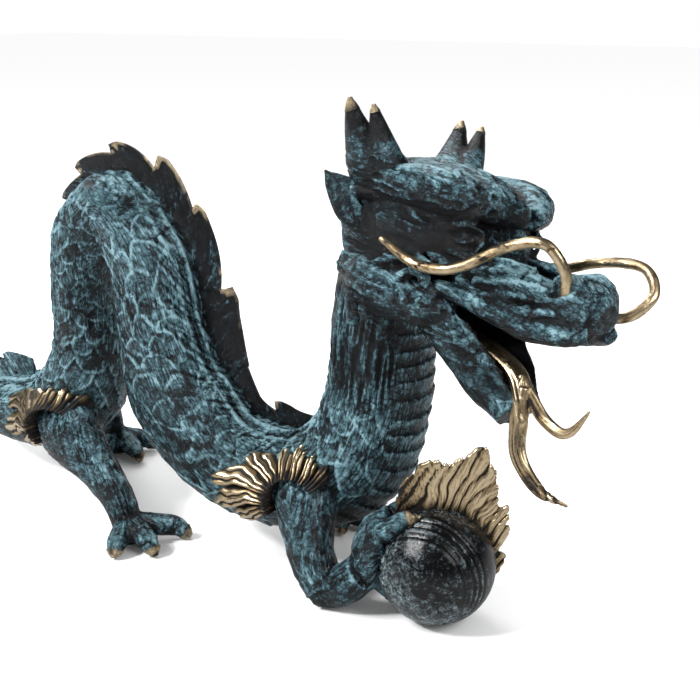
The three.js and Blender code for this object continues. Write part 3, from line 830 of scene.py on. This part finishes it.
def makeCrest(name, run, finish):
    t, height, lean = [], [], []
    for k, (start, tall) in enumerate(run["teeth"]):
        last = k == len(run["teeth"]) - 1
        stop = run["end"] if last else run["teeth"][k + 1][0]
        low = 0.1 if last else crest["notch"]
        for i in range(crest["stepsPerTooth"] + 1):
            phase = i / crest["stepsPerTooth"]
            t.append(start + (stop - start) * phase * 0.985)
            fall = low + (1 - low) * (1 - phase ** 1.7) ** 1.1
            height.append(tall * fall * (1 - 0.12 * max(0, 1 - phase * 9)))
            lean.append(3.5 * (1 - phase) ** 2)
    f = follow(body["line"], np.array(t))
    height, lean = np.array(height), np.array(lean)
    up = np.linspace(0, 1, crest["stepsUp"])
    rise = f["half"][:, 1:] - crest["foot"] + (height[:, None] + crest["foot"]) * up
    middle = f["at"][:, None] + f["up"][:, None] * rise[..., None]
    middle = middle - f["along"][:, None] * (lean[:, None] * up ** 2)[..., None]
    thick = crest["thick"] + (crest["edge"] - crest["thick"]) * up ** 0.8
    slanted = f["gone"][:, None] + rise * crest["slant"]
    grooves = noise(stacked(slanted.ravel() / 1.7, rise.ravel() / 30, 0), 41).reshape(slanted.shape)
    half = (thick / 2 + 0.55 * grooves * (up > 0.1) * (up < 0.97))[..., None]
    left, right = middle + f["left"][:, None] * half, middle - f["left"][:, None] * half
    mesh = ringMesh(name, left, right[:, ::-1])
    p = readPoints(mesh)
    where = onLine(p, fullBody)
    gone, above = where["gone"], where["gap"]
    tallHere = np.interp(gone, np.interp(np.array(t), np.linspace(0, 1, 900), fullBody["gone"]), height)
    worn = ease(-0.1, 0.4, noise(p / 9, 43) + 0.35 * noise(p / 2, 44))
    edge = 0.85 * ease(-0.45, -0.05, above - tallHere + 0.3 * noise(p / 4, 45))
    slanted = (gone + (above + where["radius"]) * crest["slant"]) / 1.3
    drawn = noise(stacked(slanted, above / 26, 0), 41)
    setAttributes(mesh, flow=stacked((gone + above * crest["slant"]) / 1.6, above / 24, 0),
                  gilt=edge * worn * ease(150, 260, gone), lit=0, shade=0,
                  relief=0.9 * np.exp(-((drawn - 0.1) / 0.1) ** 2), rim=0.5 * (1 - ease(0, 5, above)))
    return finishPiece(name, mesh, finish, "dragon")


makeCrest("tailCrest", crest["runs"][0], verdigris)
makeCrest("backCrest", crest["runs"][1], darkCrest)

# Centres are [x, z] of the joint, turns are degrees round it, "over" lifts the inner edge off the flank.
frills = {
    "nearHip": {"centre": [-170, 50], "side": -1, "inner": 17, "short": 27, "long": 52, "turn": [44, 212],
                "tongues": 7, "over": 9},
    "farHip": {"centre": [-194, 50], "side": 1, "inner": 13, "short": 25, "long": 50, "turn": [44, 212],
               "tongues": 7, "over": 4},
    "farShoulder": {"centre": [-22, 44], "side": 1, "inner": 13, "short": 24, "long": 44, "turn": [44, 208],
                    "tongues": 7, "over": 2},
    "nearShoulder": {"centre": [-7, 44], "side": -1, "inner": 15, "short": 28, "long": 53, "turn": [40, 206],
                     "tongues": 8, "over": 2},
}

# "foot" and "rim" are how far the sheet stands off the flank at its inner and outer edge.
frillShape = {"perTongue": 44, "across": 22, "sweep": 0.42, "foot": 6.5, "rim": 2.8, "under": 6,
              "strand": 1.9, "bundle": 3.0}


# The body's flank at a side view's x and z.
def flank(x, z, side):
    spots = stacked(x.ravel(), z.ravel())
    gaps = np.linalg.norm(spots[:, None] - fullBody["at"][:, [0, 2]], axis=2)
    i = gaps.argmin(1)
    share = np.minimum(0.97, gaps[np.arange(len(i)), i] / fullBody["half"][i, 1])
    return (fullBody["at"][i, 1] + side * fullBody["half"][i, 0] * np.sqrt(1 - share ** 2)).reshape(x.shape)


# Three wavy strands to a tongue.
def frillStrands(q, number, radius):
    wave = q + 0.08 * np.sin(radius / 3.1 + number * 2) + 0.035 * np.sin(radius / 1.3)
    return np.abs(np.sin(np.clip(wave, 0, 1) * np.pi * 3)) ** 0.7


# Tongues sweep backwards from the joint; each is a bundle of strands with a rounded, ragged end.
def makeFrill(name, frill):
    shape = frillShape
    inner, long, count = frill["inner"], frill["long"], frill["tongues"]
    phase = np.linspace(0, count, count * shape["perTongue"] + 1)
    number = np.minimum(np.floor(phase), count - 1)
    q = phase - number
    start, stop = frill["turn"]
    degrees = start + (stop - start) * phase / count
    full = frill["short"] + (long - frill["short"]) * np.exp(-(((degrees - 172) / 34) ** 2))
    lot = noise(stacked(number * 1.7 + 0.5, 0, frill["centre"][0]), 51)
    strands = np.abs(np.sin(q * np.pi * 3)) ** 0.5
    lobe = np.clip(1 - np.abs(q - 0.6) / np.where(q < 0.6, 0.6, 0.4), 0, 1) ** 0.45
    reach = full * (0.70 + 0.24 * lobe + 0.05 * strands * lobe) * (1 + 0.10 * lot)
    share = np.linspace(0, 1, shape["across"])

    def sweptAt(radius):
        return shape["sweep"] * (np.maximum(radius - inner, 0) / long) ** 1.1

    def spots(radius, lift):
        bend = np.radians(degrees)[:, None] + sweptAt(radius)
        x = frill["centre"][0] + np.cos(bend) * radius
        z = frill["centre"][1] + np.sin(bend) * radius
        return stacked(x, flank(x, z, frill["side"]) + frill["side"] * lift, z)

    radius = inner + (reach[:, None] - inner) * share
    ridges = frillStrands(q[:, None], number[:, None], radius)
    bundle = np.sin(np.clip(q, 0.02, 0.98) * np.pi)[:, None] ** 0.5
    lift = shape["foot"] + (shape["rim"] - shape["foot"]) * share + frill["over"] * (1 - share) ** 2
    lift = lift + shape["strand"] * (ridges - 0.5)
    lift = lift + shape["bundle"] * (bundle - 0.7) * np.sin(np.pi * np.clip(share * 0.85 + 0.1, 0, 1))
    under = np.linspace(1, 0, 5)
    low = inner + (reach[:, None] - 0.7 - inner) * under
    mesh = ringMesh(name, spots(radius, lift), spots(low, 3 * under - shape["under"]))
    p = readPoints(mesh)
    x, z = p[:, 0] - frill["centre"][0], p[:, 2] - frill["centre"][1]
    r = np.hypot(x, z)
    turned = np.degrees(np.arctan2(z, x)) - np.degrees(sweptAt(r))
    here = ((turned + 90) % 360 - 90 - start) / (stop - start) * count
    number = np.floor(here)
    between = 1 - np.abs(np.sin(np.pi * np.clip(here - number, 0, 1))) ** 0.35
    groove = np.clip(1.3 - 1.65 * frillStrands(here - number, number, r), 0, 1)
    groove += 0.5 * (1 - ease(inner + 1, inner + 7, r)) + 0.5 * ease(1.6, 0.4, here) + 0.9 * between
    setAttributes(mesh, groove=groove, flow=stacked(here * 9, r / 9, 0))
    return finishPiece(name + "Frill", mesh, polished, "dragon")


for name, frill in frills.items():
    makeFrill(name, frill)
print("crest and frills ready")


# A brass sleeve over the end of a tapering line.
def sleeve(rows, start, rings, grown, side=(0, 1, 0)):
    f = follow(rows, np.linspace(start, 1, rings), side)
    return np.concatenate([f["at"], f["half"] + grown], axis=1).tolist()


def makeClaws():
    grids, tips = [], []
    for foot in feet.values():
        for tip in foot["tips"]:
            side = toeSide(foot["root"], tip)
            claw = sleeve(toeRows(foot["root"], tip, foot["thick"]), 0.7, 9, 0.25, side)
            grids.append(tubePoints(claw, 20, 16, side))
            tips.append([*tip, 0.5])
    for rows in clawRows:
        grids.append(tubePoints(sleeve(rows, 0.66, 9, 0.3, pearlBehind), 20, 16, pearlBehind))
        tips.append(rows[-1][:3])
    mesh = gridMesh("claws", grids)
    p = readPoints(mesh)
    p[:, 2] = np.maximum(p[:, 2], 0.05)
    writePoints(mesh, p)
    worn = ease(-0.5, 0.3, noise(p / 3, 62) + 0.4 * noise(p / 1.2, 63))
    gilt = (1 - ease(5, 10, nearest(p, tips) + 1.5 * noise(p / 2, 61))) * worn
    setAttributes(mesh, gilt=gilt, flow=p / 3, relief=0, rim=0, shade=0, lit=0)
    finishPiece("claws", mesh, darkCrest, "dragon")


def makeHornTips():
    mesh = gridMesh("hornTips", [
        placed(tubePoints(sleeve(mirrored(headSides[name], side), 0.7, 10, 0.12), 20, 18))
        for name in ("horn", "fork") for side in (-1, 1)])
    p = readPoints(mesh)
    away = nearest(p, hornEnds())
    # The gilding is kept to the side facing the key light and sun, a painted highlight on the polished tips.
    paintedHighlight = ease(-0.3, 0.5, readPoints(mesh, "normal") @ unit(np.array([-0.7, -0.5, 0.5])))
    gilt = (1 - ease(3, 9, away + 3 * noise(p / 3, 31))) * paintedHighlight
    setAttributes(mesh, gilt=gilt, shade=hornDark(p, away), flow=p / 4, relief=0, rim=0, lit=0)
    finishPiece("hornTips", mesh, verdigris, "dragon")


def makeEars():
    grids = []
    for side in (-1, 1):
        rows = mirrored(ear, side)
        rings = tubePoints(rows, 40, 32, (0.75, side * 0.6, -0.3))
        f = follow(rows, np.linspace(0, 1, 41), (0.75, side * 0.6, -0.3))
        away = rings[1:-1] - f["at"][:, None]
        out = (away * f["left"][:, None]).sum(2) / f["half"][:, :1]
        across = (away * f["up"][:, None]).sum(2) / f["half"][:, 1:]
        cup = np.clip(out, 0, 1) * (1 - across ** 2)
        rings[1:-1] -= f["left"][:, None] * (cup * f["half"][:, :1] * 1.25)[..., None]  # hollows the shell
        grids.append(placed(rings))
    mesh = gridMesh("ears", grids)
    q = inHead(readPoints(mesh))
    setAttributes(mesh, flow=q / [14, 3, 5], shade=0.1, relief=0, rim=0, gilt=0, lit=0)
    finishPiece("ears", mesh, verdigris, "dragon")


makeClaws()
makeHornTips()
makeEars()
print("claws, horn tips and ears ready")

# The outline is [degrees round the pearl, height above it].
fin = {
    "outline": [[-20, -2], [-4, 4], [4, 4], [14, 2], [28, 10], [40, 14], [46, 12], [56, 22], [63, 27],
                [70, 36], [77, 27], [85, 22], [94, 24], [104, 19], [113, 15], [126, 4]],
    "thick": 4, "back": 3, "edge": 1.2, "lean": 60, "strand": 4.6, "foot": 5,
}


# Height and groove depth of the raised hoops and the two short ticks, by direction from the pearl's centre.
def pearlRelief(way):
    spin = np.degrees(np.arccos(np.clip(way @ unit(np.array([0.04, -1, 0])), -1, 1)))
    facing = ease(-0.1, 0.5, way @ unit(np.array([0.55, 0, 0.83])))
    raised = sum(tall * np.exp(-((spin - at) / wide) ** 2) for at, tall, wide in pearl["hoops"])
    sunk = sum(tall / 0.3 * np.exp(-((spin - at - 3.4) / 1.0) ** 2) for at, tall, wide in pearl["hoops"])
    x, z = way @ np.array([0.866, 0.5, 0]) * pearl["radius"], way[..., 2] * pearl["radius"]
    tick = sum(np.exp(-((x - at) / 0.4) ** 2) * ease(low, low + 1.5, z) * (1 - ease(high, high + 1.5, z))
               * (way[..., 1] < 0) for at, low, high in pearl["ticks"])
    return (raised - 0.5 * sunk) * facing - 0.8 * tick, facing * sunk + tick


def makeBall():
    turn = np.linspace(0, 2 * np.pi, 361)
    tilt = np.linspace(0, np.pi, 181)[:, None]
    way = stacked(np.sin(tilt) * np.cos(turn), np.sin(tilt) * np.sin(turn), np.cos(tilt))
    points = pearl["centre"] + way * (pearl["radius"] + pearlRelief(way)[0])[..., None]
    points[..., 2] = np.maximum(points[..., 2], 0)
    mesh = gridMesh("pearlBall", [points])
    p = readPoints(mesh)
    way = unit(p - pearl["centre"])
    height, sunk = pearlRelief(way)
    # The shade here is painted shade on the pearl's side turned away from the key light and sun.
    setAttributes(mesh, relief=1.2 * height - 1.6 * sunk, flow=p / 6, rim=0, gilt=0, lit=0,
                  shade=0.4 * ease(0.3, 0.95, way @ unit(np.array([0.75, -0.3, 0.5]))))
    finishPiece("pearlBall", mesh, pearlFinish, "flaming_pearl")


# Wavy strands that slant up and forward across the fin.
def finStrands(degrees, radius):
    degrees, radius = np.broadcast_arrays(degrees, radius)
    x = (np.cos(np.radians(degrees)) * radius).ravel()
    z = (np.sin(np.radians(degrees)) * radius).ravel()
    lean = math.radians(fin["lean"])
    spot = stacked(x / 15, z / 15, 0)
    across = (x * math.sin(lean) - z * math.cos(lean)) / fin["strand"]
    across = across + 0.7 * noise(spot, 72) + 0.2 * noise(spot * 3, 73)
    bold = np.abs(np.sin(across * np.pi)) ** 0.6
    fine = np.abs(np.sin(across * 2.7 * np.pi + 2.5 * noise(spot * 2, 74))) ** 0.7
    return (0.62 * bold + 0.38 * fine).reshape(degrees.shape)


def makeFin():
    outline = np.array(fin["outline"], float)
    t = np.linspace(0, 1, 360)
    knots = np.linspace(0, 1, len(outline))
    degrees = np.interp(t, knots, outline[:, 0])
    height = np.interp(t, knots, outline[:, 1])
    tufts = (finStrands(degrees, pearl["radius"] + height) - 0.6) * ease(2, 9, height)
    height = height + 3.2 * tufts + 1.4 * noise(stacked(degrees / 5, 0, 0), 71)
    turn = np.radians(degrees)[:, None]
    out = np.cos(turn) * pearlAcross + np.sin(turn) * skyward
    sunk = pearl["radius"] - fin["foot"]
    foot = pearl["centre"] + pearlBehind * fin["back"] + out * sunk
    up = np.linspace(0, 1, 20)
    rise = (height[:, None] + fin["foot"]) * up
    middle = foot[:, None] + out[:, None] * rise[..., None]
    strand = finStrands(degrees[:, None], sunk + rise)
    half = (fin["thick"] + (fin["edge"] - fin["thick"]) * up) / 2
    half = np.maximum(half + (strand - 0.5) * 1.7 * (up > 0.15) * (1 - up * 0.3), 0.35)[..., None]
    front, back = middle - pearlBehind * half, middle + pearlBehind * half
    mesh = ringMesh("flameFin", front, back[:, ::-1])
    away = readPoints(mesh) - pearl["centre"]
    x, z = away @ pearlAcross, away[:, 2]
    turned, r = np.degrees(np.arctan2(z, x)), np.hypot(x, z)
    groove = np.clip(1.18 - 1.4 * finStrands(turned, r), 0, 1)
    groove += 0.4 * (1 - ease(pearl["radius"], pearl["radius"] + 6, r)) + 0.4 * ease(86, 118, turned)
    setAttributes(mesh, groove=groove, flow=stacked(turned / 2.2, r / 14, 0))
    finishPiece("flameFin", mesh, polished, "flaming_pearl")


makeBall()
makeFin()
print("pearl ready")

# Rows are in the head's own frame.
whiskers = {
    "radius": 2.3,
    "right": [[110, -11, -22], [112, -18, -8], [104, -24, 2], [88, -27, -2], [68, -31, -14],
              [48, -34, -16], [28, -37, -8]],
    "left": [[108, 11, -22], [121, 17, -24], [127, 27, -13], [117, 32, -3], [97, 33, -4], [76, 34, -10],
             [54, 36, -12]],
}
tongue = {
    "stem": [[56, 0, -46, 7, 3], [74, 0, -50, 7, 3], [88, -3, -56, 6, 3.4], [95, -5, -66, 5.5, 3.6]],
    "tines": [
        [[90, -4, -56, 3.4], [96, -4, -62, 3], [106, -3, -71, 2.6], [118, -4, -73, 2.2], [127, -5, -61, 0.6]],
        [[93, -5, -60, 4.2], [95, -7, -72, 4], [99, -8, -88, 3.4], [112, -8, -99, 2.6], [127, -8, -101, 0.6]],
    ],
}


def makeWhisker(name, seed):
    radius, facing = whiskers["radius"], (0.1, 1, 0.2)
    rows = [[*spot, radius] for spot in whiskers[name]]
    rows[-1][3] = radius * 0.6
    mesh = gridMesh(name + "Whisker", [placed(tubePoints(rows, 180, 20, facing))])
    p = readPoints(mesh)
    where = onLine(inHead(p), follow(rows, np.linspace(0, 1, 200), facing))
    gone, angle = where["gone"], where["angle"]
    scratch = noise(stacked(gone / 5, angle * 1.6, 0), seed)
    writePoints(mesh, p + readPoints(mesh, "normal") * (0.18 * scratch)[:, None])
    flecks = ease(0.25, 0.6, noise(p / [1.6, 1.6, 1.0], 85) * ease(-0.4, 0.5, noise(p / 9, 86)))
    tail = ease(110, 150, gone) * np.clip(noise(p / 3, 83), 0, 1)
    groove = 0.12 + 0.5 * np.clip(scratch, 0, 1) + 0.5 * flecks + 0.7 * (1 - ease(0, 9, gone)) + 0.5 * tail
    setAttributes(mesh, groove=groove, flow=stacked(gone / 10, angle * 1.2, 0))
    finishPiece(name + "Whisker", mesh, polished, name + "_whisker")


def makeTongue():
    grids = [placed(tubePoints(tongue["stem"], 30, 20))]
    grids += [placed(tubePoints(rows, 40, 16)) for rows in tongue["tines"]]
    mesh = fused(gridMesh("forkedTongue", grids), 0.5, 3)
    p = readPoints(mesh)
    q = inHead(p)
    lines = [onLine(q, follow(rows, np.linspace(0, 1, 80))) for rows in (tongue["stem"], *tongue["tines"])]
    owner = np.argmin([line["gap"] for line in lines], axis=0)
    gone = np.choose(owner, [line["gone"] for line in lines])
    angle = np.abs(np.choose(owner, [line["angle"] for line in lines]))
    grooves = noise(stacked(gone / 14, angle * 3.2, owner * 5.0), 91)
    writePoints(mesh, p + readPoints(mesh, "normal") * (0.4 * grooves)[:, None])
    root = 1 - ease(0, 22, np.where(owner == 0, gone, 40))
    setAttributes(mesh, groove=np.clip(0.1 + 0.9 * np.clip(-grooves, 0, 1) + 0.5 * root, 0, 1),
                  flow=stacked(gone / 8, angle * 2, owner * 3.0))
    finishPiece("forkedTongue", mesh, polished, "forked_tongue")


makeWhisker("right", 81)
makeWhisker("left", 82)
makeTongue()
print("whiskers and tongue ready")

# A mirrored tone is what reflections see, so that dark bronze keeps its depth before a white backdrop.
studio = {
    "floorSize": 12.0, "floorTone": 0.97, "floorMirrored": 0.45, "aim": (0, 0, 0.1),
    "camera": (0.3571, -0.4599, 0.2914), "tilt": 72, "turn": 30, "lens": 56.57,
    "sky": 0.62, "backdrop": 1.0, "mirrored": 0.06,
    "sun": {"from": (-0.6, -0.55, 1.0), "strength": 1.8, "spread": 12},
    "lights": {
        "key": {"at": (-0.45, -0.85, 0.9), "size": 0.16, "power": 16},
        "rim": {"at": (-0.6, 0.6, 0.8), "size": 0.6, "power": 8},
        "fill": {"at": (0.95, -0.2, 0.8), "size": 0.5, "power": 6},
    },
}


def makeFloor():
    bm = bmesh.new()
    bmesh.ops.create_grid(bm, x_segments=1, y_segments=1, size=studio["floorSize"] / 2)
    mesh = bpy.data.meshes.new("floor")
    bm.to_mesh(mesh)
    bm.free()
    material, tree, shader = newMaterial("paleFloor")
    mirrored = add(tree, "LightPath").outputs["Is Glossy Ray"]
    tone = studio["floorTone"]
    tone = maths(tree, "MULTIPLY_ADD", mirrored, studio["floorMirrored"] - tone, tone)
    link(tree, shader, {"Base Color": tone})
    shader.inputs["Roughness"].default_value = 0.9
    mesh.materials.append(material)
    addObject("floor", mesh)


def makeLights():
    for name, light in studio["lights"].items():
        data = bpy.data.lights.new(name, "AREA")
        data.energy = light["power"]
        data.size = light["size"]
        lamp = addObject(name, data)
        lamp.location = light["at"]
        toAim = Vector(studio["aim"]) - Vector(light["at"])
        lamp.rotation_euler = toAim.to_track_quat("-Z", "Y").to_euler()
    data = bpy.data.lights.new("softSun", "SUN")
    data.energy = studio["sun"]["strength"]
    data.angle = math.radians(studio["sun"]["spread"])
    sun = addObject("softSun", data)
    sun.rotation_euler = (-Vector(studio["sun"]["from"])).to_track_quat("-Z", "Y").to_euler()
    world = bpy.data.worlds.new("studioWorld")
    world.use_nodes = True
    tree = world.node_tree
    ray = add(tree, "LightPath").outputs
    level = studio["sky"]
    for kind, seen in (("Is Camera Ray", "backdrop"), ("Is Glossy Ray", "mirrored")):
        level = maths(tree, "MULTIPLY_ADD", ray[kind], studio[seen] - studio["sky"], level)
    tree.links.new(level, tree.nodes["Background"].inputs[1])
    tree.nodes["Background"].inputs[0].default_value = (1, 1, 1, 1)
    bpy.context.scene.world = world
    bpy.context.scene.view_settings.view_transform = "Standard"


def makeCamera():
    data = bpy.data.cameras.new("view")
    data.lens = studio["lens"]
    data.sensor_width = 36
    data.clip_start = 0.01
    camera = addObject("view", data)
    camera.location = studio["camera"]
    camera.rotation_euler = (math.radians(studio["tilt"]), 0, math.radians(studio["turn"]))
    bpy.context.scene.camera = camera


makeFloor()
makeLights()
makeCamera()
print("studio ready")

print("pieces", len(pieces))
